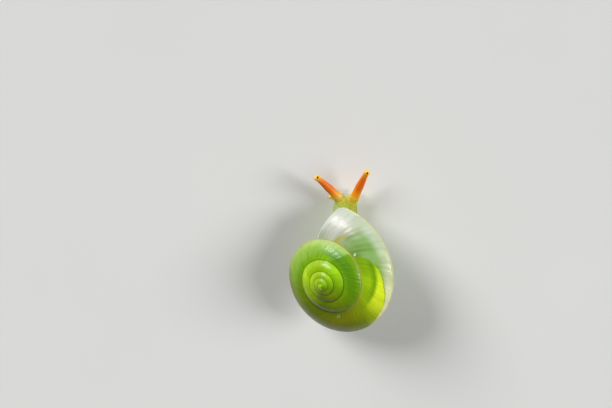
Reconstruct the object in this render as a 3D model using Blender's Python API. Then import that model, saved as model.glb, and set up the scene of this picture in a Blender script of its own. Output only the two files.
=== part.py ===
# Green Bornean land snail, Rhinocochlis nasuta, crawling with its tentacles out, at life size.
# Metres, +Z up. The sole lies on z = 0, the head points to +Y and +X is the animal's right side.
# The shell is sinistral: seen from the apex its whorls open anticlockwise.
import math

import bmesh
import bpy
import numpy as np
from mathutils import Matrix, Vector

MM = 0.001
GAP = 0.3 * MM

# Shell, in its own frame: apex at the origin, axis along +Z, angle t in radians about the axis.
KEEL_RADIUS = 12.75 * MM
KEEL_DROP = 6.3 * MM
WHORL_RATIO = 1.75
DROP_POWER = 1.1
SHELL_TURNS = 4.5
LIP_ANGLE = math.radians(109)
FIRST_ANGLE = LIP_ANGLE - SHELL_TURNS * math.tau
WHORL_BULGE = 0.14
BASE_DEPTH = 0.32
BASE_ROUNDNESS = 0.6
COLUMELLA_SHARE = 0.32
SHELL_WALL = 0.5 * MM

# The outer lip leans back from the suture to the keel, and further back under the base.
LIP_LEAN_AT_KEEL = math.radians(20)
LIP_CURVE = 1.5
NOSE_START = 0.85
NOSE_ROUNDING = math.radians(3.5)
LIP_LEAN_AT_COLUMELLA = math.radians(50)
LIP_LEAN_REACH = math.radians(120)
RECESS_ANGLE = math.radians(14)
RECESS_AT_COLUMELLA = 1.3 * MM
COLUMELLA_REACH = 5.1 * MM
APERTURE_INWARD = Vector((0.79, -0.16, 0.59))
COLLAR_DEPTHS = (0.8, 0.45, 0.1)
COLLAR_SWELL = 1.1 * MM

# How the shell sits on the animal.
SHELL_LEAN_LEFT = math.radians(29.1)
SHELL_LEAN_BACK = math.radians(0.6)
APEX_PLACE = Vector((-4.08, -3.23, 12.4)) * MM

SHELL_STEPS = 48
UPPER_ROWS = (0.0, 0.16, 0.36, 0.57, 0.77, 0.91, 1.0)
BASE_ROWS = (0.0, 0.09, 0.22, 0.38, 0.55, 0.7, 0.82, 0.92)

# Flesh.
FOOT_STATIONS = (
    # along Y, middle X, half width, height
    (11.9, 0.93, 0.5, 0.45),
    (11.5, 0.93, 1.4, 0.95),
    (10.3, 0.93, 2.05, 1.35),
    (7.5, 0.93, 2.3, 1.7),
    (2.0, 0.75, 2.95, 2.2),
    (-3.5, 0.4, 3.1, 2.3),
    (-8.5, 0.0, 2.5, 2.0),
    (-12.2, -0.25, 1.55, 1.5),
    (-14.7, -0.35, 0.75, 0.95),
    (-15.7, -0.35, 0.3, 0.45),
)
FOOT_PROFILE = (
    # share of the half width, share of the height
    (0.0, 0.0),
    (0.55, 0.0),
    (1.0, 0.0),
    (1.09, 0.1),
    (1.02, 0.3),
    (0.86, 0.62),
    (0.56, 0.89),
    (0.26, 0.98),
    (0.0, 1.0),
)
BODY_STATIONS = (
    # along Y, middle X, bottom, top, half width
    (12.65, 0.93, 1.7, 2.8, 0.5),
    (12.4, 0.93, 1.35, 3.35, 1.4),
    (11.8, 0.93, 1.1, 3.95, 2.05),
    (10.8, 0.93, 1.0, 4.45, 2.35),
    (9.6, 0.93, 0.9, 5.1, 2.42),
    (8.2, 0.9, 0.9, 6.1, 2.5),
    (6.0, 0.75, 0.9, 7.6, 2.75),
    (3.5, 0.5, 0.9, 8.6, 3.0),
    (1.0, 0.3, 0.9, 8.2, 2.9),
    (-1.5, 0.2, 0.9, 6.2, 2.6),
    (-4.0, 0.15, 0.9, 4.3, 2.3),
    (-6.5, 0.05, 0.9, 3.2, 2.0),
    (-9.0, 0.0, 0.9, 2.45, 1.5),
    (-11.2, -0.15, 0.9, 1.8, 0.8),
)
BODY_SIDES = 24
LOFT_STEPS = 3
SHARP_ANGLE = math.radians(40)

MOUTH_PLACE = (0.93, 12.45, 1.72)
LIP_RADIUS = 0.6 * MM
LIP_SPREAD = 0.48 * MM
LIP_SET_BACK = 0.45 * MM
LIP_DROP = 0.32 * MM
LIP_SHAPE = (1.0, 0.9, 0.85)
MOUTH_LINE_SHAPE = (1.3, 0.6, 0.16)
LIP_FOLD_SHAPE = (0.14, 0.5, 0.7)

HEAD_NECK_CUT = 9.3 * MM
FOOT_TAIL_CUT = -6.5 * MM

FEELER_SIDES = 14
UPPER_TENTACLES = {
    # root inside the head, tip
    "left": ((-0.3, 12.2, 3.3), (-5.05, 17.55, 6.0)),
    "right": ((2.55, 11.85, 3.2), (5.2, 18.85, 6.5)),
}
TENTACLE_PROFILE = (
    # share of the length, radius
    (0.0, 1.15),
    (0.12, 1.07),
    (0.35, 0.87),
    (0.6, 0.7),
    (0.8, 0.56),
    (0.88, 0.57),
    (0.94, 0.61),
    (0.98, 0.5),
    (1.0, 0.25),
)
TENTACLE_SAG = 0.35 * MM
EYE_RADIUS = 0.27 * MM
EYE_GAP = 0.1 * MM
EYE_FROM_TIP = 0.3 * MM
EYE_RAISED = 0.3 * MM
EYE_ASIDE = {"left": 0.2 * MM, "right": 0.05 * MM}
LOWER_TENTACLES = {
    "left": ((-0.6, 11.5, 1.9), (-2.35, 12.0, 1.35)),
    "right": ((2.3, 11.7, 1.9), (3.3, 13.2, 1.35)),
}
LOWER_PROFILE = ((0.0, 0.46), (0.5, 0.36), (0.8, 0.42), (0.95, 0.33), (1.0, 0.18))


def clear_scene():
    for obj in list(bpy.data.objects):
        bpy.data.objects.remove(obj, do_unlink=True)


def new_collection(name, hidden=False):
    collection = bpy.data.collections.new(name)
    collection.hide_render = hidden
    bpy.context.scene.collection.children.link(collection)
    return collection


def make_material(name, colour, roughness):
    material = bpy.data.materials.new(name)
    material.use_nodes = True
    shader = material.node_tree.nodes["Principled BSDF"]
    shader.inputs["Base Color"].default_value = (*colour, 1.0)
    shader.inputs["Roughness"].default_value = roughness
    shader.inputs["Metallic"].default_value = 0.0
    return material


def add_mesh(name, points, faces, collection, material=None):
    mesh = bpy.data.meshes.new(name)
    mesh.from_pydata([tuple(p) for p in points], [], faces)
    mesh.update()
    obj = bpy.data.objects.new(name, mesh)
    if material:
        mesh.materials.append(material)
    collection.objects.link(obj)
    return obj


def face_outwards(obj):
    bm = bmesh.new()
    bm.from_mesh(obj.data)
    bmesh.ops.recalc_face_normals(bm, faces=bm.faces)
    if bm.calc_volume(signed=True) < 0:
        bmesh.ops.reverse_faces(bm, faces=bm.faces)
    bm.to_mesh(obj.data)
    bm.free()
    return obj


# Shell surface


def keel_radius(t):
    return KEEL_RADIUS * WHORL_RATIO ** (t / math.tau)


def keel_drop(t):
    return KEEL_DROP * WHORL_RATIO ** (DROP_POWER * t / math.tau)


def upper_point(t, s):
    """Radius and height of the whorl's upper side, from the suture at s = 0 to the keel at s = 1."""
    first_whorl = min((t - FIRST_ANGLE) / math.tau, 1.0)
    suture = Vector((keel_radius(t - math.tau), -keel_drop(t - math.tau))) * first_whorl
    keel = Vector((keel_radius(t), -keel_drop(t)))
    chord = keel - suture
    outward = Vector((-chord.y, chord.x))
    swell = 4 * s * (1 - s) * min(1.0, 2 * first_whorl)
    return suture + chord * s + outward * (WHORL_BULGE * swell)


def base_point(t, s):
    """Radius and height of the whorl's base, from the keel at s = 0 to the columella at s = 1."""
    radius = keel_radius(t)
    share = 1 - s
    depth = BASE_DEPTH * radius * (1 - share**2) ** BASE_ROUNDNESS
    height = -keel_drop(t) - depth
    near = ease(1 - share / COLUMELLA_SHARE)
    return Vector((share * radius, height + (columella_height() - height) * near))


def columella_height():
    """The whorl's base meets the axis half a turn behind the lip's depth."""
    t = LIP_ANGLE - math.pi
    return -keel_drop(t) - BASE_DEPTH * keel_radius(t)


def ease(u):
    u = min(max(u, 0.0), 1.0)
    return u * u * (3 - 2 * u)


def lip_shift(t, lean):
    """Turns a point near the aperture back along the whorl, so that the lip slants."""
    return -lean * ease(1 + (t - LIP_ANGLE) / LIP_LEAN_REACH)


def upper_lean(s):
    near_keel = max(0.0, (s - NOSE_START) / (1 - NOSE_START))
    return LIP_LEAN_AT_KEEL * (1 - (1 - s) ** LIP_CURVE) + NOSE_ROUNDING * near_keel**2


def base_lean(s):
    return upper_lean(1) + (LIP_LEAN_AT_COLUMELLA - upper_lean(1)) * s


def in_space(section, t):
    return Vector((section.x * math.cos(t), section.x * math.sin(t), section.y))


def outer_surface():
    """Points and faces of the shell's outside, and the loop of point numbers round its aperture."""
    turn = SHELL_STEPS
    steps = round(SHELL_TURNS * turn)
    last_upper, last_base = len(UPPER_ROWS) - 1, len(BASE_ROWS) - 1
    angle = [LIP_ANGLE - (steps - i) * math.tau / turn for i in range(steps + 1)]
    points, faces, upper, base = [], [], {}, {}

    def add(point):
        points.append(point)
        return len(points) - 1

    apex = add(Vector((0, 0, 0)))
    for i, t in enumerate(angle):
        for j, s in enumerate(UPPER_ROWS):
            if (i, j) == (0, 0):
                upper[i, j] = apex
            elif j == 0 and i >= turn:
                upper[i, j] = upper[i - turn, last_upper]
            else:
                at = t + lip_shift(t, upper_lean(s))
                upper[i, j] = add(in_space(upper_point(at, s), at))
    for i in range(steps - turn, steps + 1):
        base[i, 0] = upper[i, last_upper]
        for k, s in enumerate(BASE_ROWS[1:], 1):
            at = angle[i] + lip_shift(angle[i], base_lean(s))
            base[i, k] = add(in_space(base_point(at, s), at))
    columella = add(Vector((0, 0, columella_height())))

    for i in range(steps):
        for j in range(last_upper):
            faces.append((upper[i, j], upper[i, j + 1], upper[i + 1, j + 1], upper[i + 1, j]))
    for i in range(1, turn):
        faces.append((apex, upper[i, 0], upper[i + 1, 0]))
    for j in range(1, last_upper):
        faces.append((apex, upper[0, j + 1], upper[0, j]))
    for i in range(steps - turn, steps):
        for k in range(last_base):
            faces.append((base[i, k], base[i, k + 1], base[i + 1, k + 1], base[i + 1, k]))
        faces.append((columella, base[i + 1, last_base], base[i, last_base]))

    lip = [upper[steps, j] for j in range(last_upper + 1)]
    lip += [base[steps, k] for k in range(1, last_base + 1)]
    lip += [columella]
    lip += [base[steps - turn, k] for k in range(last_base, 0, -1)]
    return points, faces, lip


def aperture_ring(depth, inset):
    """The aperture's outline moved into the whorl by depth, from 0 to 1, and narrowed by inset."""
    t = LIP_ANGLE - depth * RECESS_ANGLE
    flat = [(upper_point(t - upper_lean(s), s), t - upper_lean(s)) for s in UPPER_ROWS]
    flat += [(base_point(t - base_lean(s), s), t - base_lean(s)) for s in BASE_ROWS[1:]]
    flat.append((Vector((0, columella_height())), t - base_lean(1)))
    flat += [(base_point(t - math.tau, s), t) for s in reversed(BASE_ROWS[1:])]
    ring = []
    for i, (point, at) in enumerate(flat):
        before, after = flat[i - 1][0], flat[(i + 1) % len(flat)][0]
        along = (after - point).normalized() + (point - before).normalized()
        inward = Vector((along.y, -along.x)).normalized()
        moved = point + inward * inset
        near_axis = 1 - ease(moved.x / COLUMELLA_REACH)
        recess = APERTURE_INWARD * (RECESS_AT_COLUMELLA * depth * near_axis)
        ring.append(in_space(moved, at) + recess)
    return ring


def ring_faces(first, second):
    count = len(first)
    return [
        (first[i], first[(i + 1) % count], second[(i + 1) % count], second[i]) for i in range(count)
    ]


def add_cap(points, faces, ring, swell=0.0):
    """Closes a ring with a fan, whose middle stands out of the shell's open side by swell."""
    middle = sum((points[i] for i in ring), Vector()) / len(ring)
    points.append(middle - APERTURE_INWARD * swell)
    faces.extend((ring[i - 1], ring[i], len(points) - 1) for i in range(len(ring)))


def shell_matrix():
    lean_left = Matrix.Rotation(-SHELL_LEAN_LEFT, 4, "Y")
    lean_back = Matrix.Rotation(SHELL_LEAN_BACK, 4, "X")
    return Matrix.Translation(APEX_PLACE) @ lean_back @ lean_left


def add_rings(points, rings, depths, inset):
    for depth in depths:
        ring = aperture_ring(depth, inset)
        rings.append(list(range(len(points), len(points) + len(ring))))
        points += ring


def make_shell(collection, material):
    """One solid body with an open aperture, as deep as it shows."""
    points, faces, lip = outer_surface()
    rings = [lip]
    add_rings(points, rings, (0.0, 0.5, 1.0), SHELL_WALL)
    for first, second in zip(rings, rings[1:]):
        faces += ring_faces(first, second)
    add_cap(points, faces, rings[-1])
    shell = face_outwards(add_mesh("shell", points, faces, collection, material))
    shell.matrix_world = shell_matrix()
    return shell


def make_collar(collection, material):
    """The mantle collar fills the aperture up to just inside the lip."""
    points, faces, rings = [], [], []
    add_rings(points, rings, COLLAR_DEPTHS, SHELL_WALL + GAP)
    for first, second in zip(rings, rings[1:]):
        faces += ring_faces(first, second)
    add_cap(points, faces, rings[0])
    add_cap(points, faces, rings[-1], COLLAR_SWELL)
    collar = face_outwards(add_mesh("mantle_collar", points, faces, collection, material))
    collar.matrix_world = shell_matrix()
    return collar


def grow_outwards(obj, distance):
    bm = bmesh.new()
    bm.from_mesh(obj.data)
    bm.normal_update()
    for vert in bm.verts:
        vert.co += vert.normal * distance
    bm.to_mesh(obj.data)
    bm.free()
    return obj


def make_shell_cutter(collection):
    """The shell with its open side closed, grown by the gap, to keep the flesh clear of it."""
    points, faces, lip = outer_surface()
    add_cap(points, faces, lip, COLLAR_SWELL)
    cutter = face_outwards(add_mesh("shell_cutter", points, faces, collection))
    cutter.matrix_world = shell_matrix()
    return grow_outwards(cutter, GAP)


# Flesh


def smooth_stations(stations, steps):
    """Rows between the given ones, on a Catmull-Rom curve through them."""
    rows = [np.array(row, float) for row in stations]
    rows = [2 * rows[0] - rows[1], *rows, 2 * rows[-1] - rows[-2]]
    out = []
    for i in range(1, len(rows) - 2):
        a, b, c, d = rows[i - 1 : i + 3]
        for step in range(steps):
            u = step / steps
            out.append(
                0.5
                * (
                    2 * b
                    + (c - a) * u
                    + (2 * a - 5 * b + 4 * c - d) * u**2
                    + (3 * b - a - 3 * c + d) * u**3
                )
            )
    out.append(rows[-2])
    return out


def loft(name, rings, collection, material=None):
    """A closed tube through rings of equal count, with a point closing each end."""
    points = [p for ring in rings for p in ring]
    count = len(rings[0])
    numbers = [list(range(i * count, (i + 1) * count)) for i in range(len(rings))]
    faces = []
    for first, second in zip(numbers, numbers[1:]):
        faces += ring_faces(first, second)
    add_cap(points, faces, numbers[0])
    add_cap(points, faces, numbers[-1])
    return face_outwards(add_mesh(name, points, faces, collection, material))


def foot_rings(grow=0.0):
    rings = []
    for y, x, half, height in smooth_stations(FOOT_STATIONS, LOFT_STEPS):
        right = [
            Vector((x * MM + side * half * MM, y * MM, up * height * MM)) for side, up in FOOT_PROFILE
        ]
        left = [Vector((2 * x * MM - p.x, p.y, p.z)) for p in right[-2:0:-1]]
        ring = right + left
        middle = Vector((x * MM, y * MM, height * MM / 2))
        rings.append([p + (p - middle).normalized() * grow for p in ring])
    return rings


def body_rings(grow=0.0):
    rings = []
    for y, x, bottom, top, half in smooth_stations(BODY_STATIONS, LOFT_STEPS):
        middle = Vector((x, y, (bottom + top) / 2)) * MM
        wide = half * MM + grow
        high = (top - bottom) / 2 * MM + grow
        ring = []
        for k in range(BODY_SIDES):
            angle = math.tau * k / BODY_SIDES
            ring.append(middle + Vector((wide * math.cos(angle), 0, high * math.sin(angle))))
        rings.append(ring)
    return rings


def feeler_axes(root, tip):
    along = tip - root
    side = along.cross(Vector((0, 0, 1))).normalized()
    return along, side, side.cross(along).normalized()


def make_feeler(name, ends, profile, sag, collection, material):
    """A tapering feeler from its root to its tip, drooping by sag in the middle."""
    root, tip = (Vector(end) * MM for end in ends)
    along, side, up = feeler_axes(root, tip)
    rings = []
    for share, radius in smooth_stations(profile, 2):
        middle = root + along * share - up * sag * math.sin(math.pi * min(share, 1.0))
        ring = []
        for k in range(FEELER_SIDES):
            angle = math.tau * k / FEELER_SIDES
            ring.append(middle + (side * math.cos(angle) + up * math.sin(angle)) * radius * MM)
        rings.append(ring)
    return loft(name, rings, collection, material)


def eye_place(ends, aside):
    root, tip = (Vector(end) * MM for end in ends)
    along, side, up = feeler_axes(root, tip)
    return tip - along.normalized() * EYE_FROM_TIP + up * EYE_RAISED + side * aside


def make_ball(name, radius, place, collection, material=None, stretch=(1, 1, 1)):
    mesh = bpy.data.meshes.new(name)
    bm = bmesh.new()
    bmesh.ops.create_icosphere(bm, subdivisions=2, radius=radius)
    bmesh.ops.scale(bm, vec=stretch, verts=bm.verts)
    bm.to_mesh(mesh)
    bm.free()
    ball = bpy.data.objects.new(name, mesh)
    if material:
        mesh.materials.append(material)
    ball.location = place
    collection.objects.link(ball)
    return ball


def shape_mouth(body, cutters):
    """Two rounded lips at the head's lower front, with the mouth's line over and between them."""
    middle = Vector(MOUTH_PLACE) * MM
    for side in (-1, 1):
        place = middle + Vector((side * LIP_SPREAD, -LIP_SET_BACK, -LIP_DROP))
        boolean(body, make_ball("lip", LIP_RADIUS, place, cutters, stretch=LIP_SHAPE), "UNION")
    boolean(body, make_ball("mouth_line", LIP_RADIUS, middle, cutters, stretch=MOUTH_LINE_SHAPE))
    fold = middle - Vector((0, 0, LIP_DROP))
    boolean(body, make_ball("lip_fold", LIP_RADIUS, fold, cutters, stretch=LIP_FOLD_SHAPE))


def boolean(target, cutter, operation="DIFFERENCE"):
    modifier = target.modifiers.new(operation.lower(), "BOOLEAN")
    modifier.operation = operation
    modifier.object = cutter
    modifier.solver = "EXACT"
    graph = bpy.context.evaluated_depsgraph_get()
    made = bpy.data.meshes.new_from_object(target.evaluated_get(graph))
    target.modifiers.clear()
    old = target.data
    target.data = made
    bpy.data.meshes.remove(old)
    return target


def keep_largest(obj):
    """Drops loose scraps that a cut leaves."""
    bm = bmesh.new()
    bm.from_mesh(obj.data)
    bm.verts.ensure_lookup_table()
    left = set(bm.verts)
    groups = []
    while left:
        stack, group = [left.pop()], []
        while stack:
            vert = stack.pop()
            group.append(vert)
            for edge in vert.link_edges:
                other = edge.other_vert(vert)
                if other in left:
                    left.remove(other)
                    stack.append(other)
        groups.append(group)
    groups.sort(key=len)
    for group in groups[:-1]:
        bmesh.ops.delete(bm, geom=group, context="VERTS")
    bm.to_mesh(obj.data)
    bm.free()
    return obj


def half_of(obj, name, point, normal, collection):
    """A copy of obj that keeps only what lies on the side of the plane the normal points to."""
    copy = obj.copy()
    copy.data = obj.data.copy()
    copy.name = name
    copy.data.name = name
    collection.objects.link(copy)
    bm = bmesh.new()
    bm.from_mesh(copy.data)
    cut = bmesh.ops.bisect_plane(
        bm,
        geom=[*bm.verts, *bm.edges, *bm.faces],
        dist=1e-7,
        plane_co=point,
        plane_no=normal,
        clear_inner=True,
    )
    edges = [g for g in cut["geom_cut"] if isinstance(g, bmesh.types.BMEdge)]
    bmesh.ops.holes_fill(bm, edges=edges, sides=0)
    bmesh.ops.recalc_face_normals(bm, faces=bm.faces)
    bm.to_mesh(copy.data)
    bm.free()
    return copy


def part_across_y(obj, front_name, back_name, cut, collection):
    """Parts obj at y = cut, leaving the gap between the two pieces."""
    front = half_of(obj, front_name, Vector((0, cut + GAP / 2, 0)), Vector((0, 1, 0)), collection)
    back = half_of(obj, back_name, Vector((0, cut - GAP / 2, 0)), Vector((0, -1, 0)), collection)
    bpy.data.objects.remove(obj)
    return front, back


def shade_smooth(collection):
    for obj in collection.objects:
        obj.data.shade_smooth()
        obj.data.set_sharp_from_angle(angle=SHARP_ANGLE)


def set_aside(collection):
    """Cutters stay in the file as wires that no render shows."""
    for obj in collection.objects:
        obj.hide_render = True
        obj.display_type = "WIRE"


def recentre(collection):
    """Moves the whole animal so that the middle of its box is over the origin."""
    corners = [
        obj.matrix_world @ vert.co for obj in collection.objects for vert in obj.data.vertices
    ]
    middle = [
        (min(c[axis] for c in corners) + max(c[axis] for c in corners)) / 2 for axis in (0, 1)
    ]
    shift = Matrix.Translation((-middle[0], -middle[1], 0))
    for obj in collection.objects:
        obj.matrix_world = shift @ obj.matrix_world


def main():
    clear_scene()
    snail = new_collection("snail")
    cutters = new_collection("cutters", hidden=True)
    green = make_material("shell_green", (0.42, 0.72, 0.08), 0.2)
    yellow = make_material("head_flesh", (0.72, 0.74, 0.12), 0.4)
    pale = make_material("foot_flesh", (0.78, 0.85, 0.55), 0.4)
    orange = make_material("tentacle_orange", (0.95, 0.42, 0.03), 0.4)
    mantle = make_material("mantle", (0.6, 0.8, 0.35), 0.35)
    black = make_material("eye_black", (0.02, 0.02, 0.02), 0.15)

    make_shell(snail, green)
    make_collar(snail, mantle)
    shell_cutter = make_shell_cutter(cutters)
    foot = loft("whole_foot", foot_rings(), snail, pale)
    foot_cutter = loft("foot_cutter", foot_rings(GAP), cutters)
    part_across_y(foot, "foot", "tail", FOOT_TAIL_CUT, snail)

    body = loft("body", body_rings(), snail, yellow)
    body_cutter = loft("body_cutter", body_rings(GAP), cutters)
    shape_mouth(body, cutters)
    boolean(body, foot_cutter)
    boolean(body, shell_cutter)
    keep_largest(body)
    part_across_y(body, "head", "neck", HEAD_NECK_CUT, snail)

    for side, ends in UPPER_TENTACLES.items():
        name = f"upper_tentacle_{side}"
        tentacle = make_feeler(name, ends, TENTACLE_PROFILE, TENTACLE_SAG, snail, orange)
        place = eye_place(ends, EYE_ASIDE[side])
        socket = make_ball(f"socket_{side}", EYE_RADIUS + EYE_GAP, place, cutters)
        boolean(tentacle, body_cutter)
        boolean(tentacle, socket)
        keep_largest(tentacle)
        make_ball(f"eye_{side}", EYE_RADIUS, place, snail, black)
    for side, ends in LOWER_TENTACLES.items():
        name = f"lower_tentacle_{side}"
        tentacle = make_feeler(name, ends, LOWER_PROFILE, 0.0, snail, orange)
        boolean(tentacle, body_cutter)
        boolean(tentacle, foot_cutter)
        keep_largest(tentacle)
    recentre(snail)
    shade_smooth(snail)
    set_aside(cutters)


main()
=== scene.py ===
from contextlib import contextmanager
from math import cos, pi, radians, sin, tau

import bmesh
import bpy
import numpy as np
from mathutils import Matrix, Vector, noise
from mathutils.bvhtree import BVHTree


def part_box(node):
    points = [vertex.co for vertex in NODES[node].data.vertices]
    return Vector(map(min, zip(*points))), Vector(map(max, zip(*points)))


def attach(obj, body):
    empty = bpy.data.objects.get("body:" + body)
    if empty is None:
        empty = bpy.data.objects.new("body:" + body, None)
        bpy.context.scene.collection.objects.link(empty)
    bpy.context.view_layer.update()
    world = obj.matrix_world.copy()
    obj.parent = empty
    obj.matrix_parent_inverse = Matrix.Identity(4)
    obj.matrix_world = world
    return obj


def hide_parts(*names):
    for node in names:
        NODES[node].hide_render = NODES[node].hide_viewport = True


# A green Bornean land snail, Rhinocochlis nasuta, at life size. Metres, +Z up, head towards +Y.
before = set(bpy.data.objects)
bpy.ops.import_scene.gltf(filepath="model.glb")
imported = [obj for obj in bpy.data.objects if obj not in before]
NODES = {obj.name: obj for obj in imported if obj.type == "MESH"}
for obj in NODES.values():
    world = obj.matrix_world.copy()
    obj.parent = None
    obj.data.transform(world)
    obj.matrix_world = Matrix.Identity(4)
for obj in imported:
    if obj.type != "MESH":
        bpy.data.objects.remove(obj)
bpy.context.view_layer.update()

MM = 0.001

# Shell, as the frame has it: apex at the origin, axis along +Z, angle t in radians about the axis.
KEEL_RADIUS = 12.75 * MM
KEEL_DROP = 6.3 * MM
WHORL_RATIO = 1.75
DROP_POWER = 1.1
SHELL_TURNS = 4.5
LIP_ANGLE = radians(109)
FIRST_ANGLE = LIP_ANGLE - SHELL_TURNS * tau
WHORL_BULGE = 0.14
BASE_DEPTH = 0.32
BASE_ROUNDNESS = 0.6
COLUMELLA_SHARE = 0.32
SHELL_WALL = 0.5 * MM
LIP_LEAN_AT_KEEL = radians(20)
LIP_CURVE = 1.5
NOSE_START = 0.85
NOSE_ROUNDING = radians(3.5)
LIP_LEAN_AT_COLUMELLA = radians(50)
LIP_LEAN_REACH = radians(120)
RECESS_ANGLE = radians(14)
RECESS_AT_COLUMELLA = 1.3 * MM
COLUMELLA_REACH = 5.1 * MM
APERTURE_INWARD = np.array((0.79, -0.16, 0.59))
COLLAR_DEPTHS = (0.8, 0.45, 0.1)
COLLAR_WALL_SHARE = 0.8
COLLAR_SWELL = 1.1 * MM
SHELL_LEAN_LEFT = radians(29.1)
SHELL_LEAN_BACK = radians(0.6)
APEX_PLACE = Vector((-4.08, -3.23, 12.4)) * MM

# Fineness of the shell that shows.
TURN_STEPS = 320
UPPER_STEPS = 44
BASE_STEPS = 40
BASE_ROWS_END = 0.97
LIP_STEPS = 8
WALL_DEPTHS = (0.0, 0.15, 0.35, 0.6, 0.8, 1.0)

# The lip bulges forward, is thin at the suture and goes on as a callus over the whorl before.
LIP_BULGE = 0.05
CORNER_WALL = 0.12
CORNER_REACH = 2.2 * MM
CALLUS_WALL = 0.22
CALLUS_EDGE = (0.6, 0.35)
CALLUS_DEPTH = 0.35

# Age in turns back from the lip, and place across the whorl, at the apex, columella and inside.
APEX_GROWTH = (4.8, 0.5)
COLUMELLA_GROWTH = (0.5, 2.0)
INSIDE_GROWTH = (-0.05, 0.5)

# Relief on the shell: growth ridges, the keel's thread and the ridge behind the lip.
GROWTH_HEIGHT = 0.02 * MM
GROWTH_WAVE = (190, 31, 2.0)
GROWTH_SWELL = (57, 1.3)
FINE_WAVE = (417, 23, 3.0)
FINE_SHARE = 0.6
EDGE_FADE = 8
RELIEF_AT_KEEL = 0.25
GROWTH_END = 2.2
GROWTH_LEFT = 0.15
THREAD_HEIGHT = 0.07 * MM
THREAD_WIDTH = 0.013
THREAD_END = 4.2
LIP_RIDGE_AGE = 0.011
LIP_RIDGE_WIDTH = 0.003
LIP_RIDGE_HEIGHT = 0.06 * MM

# Flesh, as the frame has it, in millimetres.
FOOT_STATIONS = (
    # along Y, middle X, half width, height
    (11.9, 0.93, 0.5, 0.45),
    (11.5, 0.93, 1.4, 0.95),
    (10.3, 0.93, 2.05, 1.35),
    (7.5, 0.93, 2.3, 1.7),
    (2.0, 0.75, 2.95, 2.2),
    (-3.5, 0.4, 3.1, 2.3),
    (-8.5, 0.0, 2.5, 2.0),
    (-12.2, -0.25, 1.55, 1.5),
    (-14.7, -0.35, 0.75, 0.95),
    (-15.7, -0.35, 0.3, 0.45),
)
FOOT_PROFILE = (
    # share of the half width, share of the height
    (0.0, 0.0), (0.55, 0.0), (1.0, 0.0), (1.09, 0.1), (1.02, 0.3), (0.86, 0.62), (0.56, 0.89),
    (0.26, 0.98), (0.0, 1.0),
)
BODY_STATIONS = (
    # along Y, middle X, bottom, top, half width
    (12.65, 0.93, 1.7, 2.8, 0.5),
    (12.4, 0.93, 1.35, 3.35, 1.4),
    (11.8, 0.93, 1.1, 3.95, 2.05),
    (10.8, 0.93, 1.0, 4.45, 2.35),
    (9.6, 0.93, 0.9, 5.1, 2.42),
    (8.2, 0.9, 0.9, 6.1, 2.5),
    (6.0, 0.75, 0.9, 7.6, 2.75),
    (3.5, 0.5, 0.9, 8.6, 3.0),
    (1.0, 0.3, 0.9, 8.2, 2.9),
    (-1.5, 0.2, 0.9, 6.2, 2.6),
    (-4.0, 0.15, 0.9, 4.3, 2.3),
    (-6.5, 0.05, 0.9, 3.2, 2.0),
    (-9.0, 0.0, 0.9, 2.45, 1.5),
    (-11.2, -0.15, 0.9, 1.8, 0.8),
)
BODY_SIDES = 64
FEELER_SIDES = 32
LOFT_STEPS = 6
MOUTH_PLACE = (0.93, 12.45, 1.72)
LIP_RADIUS = 0.6
LIP_SPREAD = 0.48
LIP_SET_BACK = 0.45
LIP_DROP = 0.32
LIP_SHAPE = (1.0, 0.9, 0.85)
MOUTH_LINE_SHAPE = (1.3, 0.6, 0.22)
LIP_FOLD_SHAPE = (0.2, 0.6, 0.75)
UPPER_TENTACLES = {
    # root inside the head, tip
    "left": ((-0.3, 12.2, 3.3), (-5.05, 17.55, 6.0)),
    "right": ((2.55, 11.85, 3.2), (5.2, 18.85, 6.5)),
}
TENTACLE_PROFILE = (
    # share of the length, radius
    (0.0, 1.15), (0.12, 1.07), (0.35, 0.87), (0.6, 0.7), (0.8, 0.56), (0.88, 0.57), (0.94, 0.61),
    (0.98, 0.5), (1.0, 0.25),
)
TENTACLE_SAG = 0.35
EYE_FROM_TIP = 0.3
EYE_RAISED = 0.3
EYE_ASIDE = {"left": 0.2, "right": 0.05}
LOWER_TENTACLES = {
    "left": ((-0.6, 11.5, 1.9), (-2.35, 12.0, 1.35)),
    "right": ((2.3, 11.7, 1.9), (3.3, 13.2, 1.35)),
}
LOWER_PROFILE = ((0.0, 0.46), (0.5, 0.36), (0.8, 0.42), (0.95, 0.33), (1.0, 0.18))
ROOT_RIDGES = (
    # behind each upper tentacle: middle, radius
    ((-0.2, 10.9, 3.1), 1.1),
    ((2.2, 10.7, 3.1), 1.1),
)
RIDGE_SHAPE = (0.95, 1.7, 0.95)

# The skin over it: fineness, reach into the shell, and rounds of smoothing in all and by place.
VOXEL = 0.065 * MM
SKIN_IN_SHELL = 0.12 * MM
WELD_WITHIN = 0.001 * MM
BALL_FINENESS = 4
SKIN_SMOOTHING = 44
ROOT_SMOOTHING = 270
LAST_SMOOTHING = 6
SMOOTHING_STEP = 0.5
LEAST_STEP = 0.02
SOLE_SNAP = 0.12 * MM
MANTLE_REACH = 0.5 * MM
AXIS_STEPS = 60
ROOT_SHARE = 0.2
ROOT_STEPS = 8

# Where a share starts to change and how far on it ends, in radii, shares or millimetres.
FEELER_EDGE = (1.15, 0.5)
LOWER_FEELER_EDGE = (1.25, 0.4)
ROOT_EDGE = (1.0, 0.9)
MOUTH_EDGE = (0.45, 0.75)
KEPT_FEELER = (0.25, 0.2)
KEPT_LOWER_FEELER = (0.45, 0.3)
KEPT_MOUTH = (1.1, 0.7)
GRAINED_FEELER = (0.1, 0.4)
GRAINS_ABOVE_SOLE = (0.25, 0.5)
GRAINS_FROM_MOUTH = (0.7, 0.9)
FURROWS_ABOVE = (3.2, 0.6)
FURROWS_BEHIND = (12.2, 1.2)
FURROWS_BEFORE = (5.5, 1.5)
SOLE_LINE_BEHIND = (13.0, 0.8)

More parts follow.
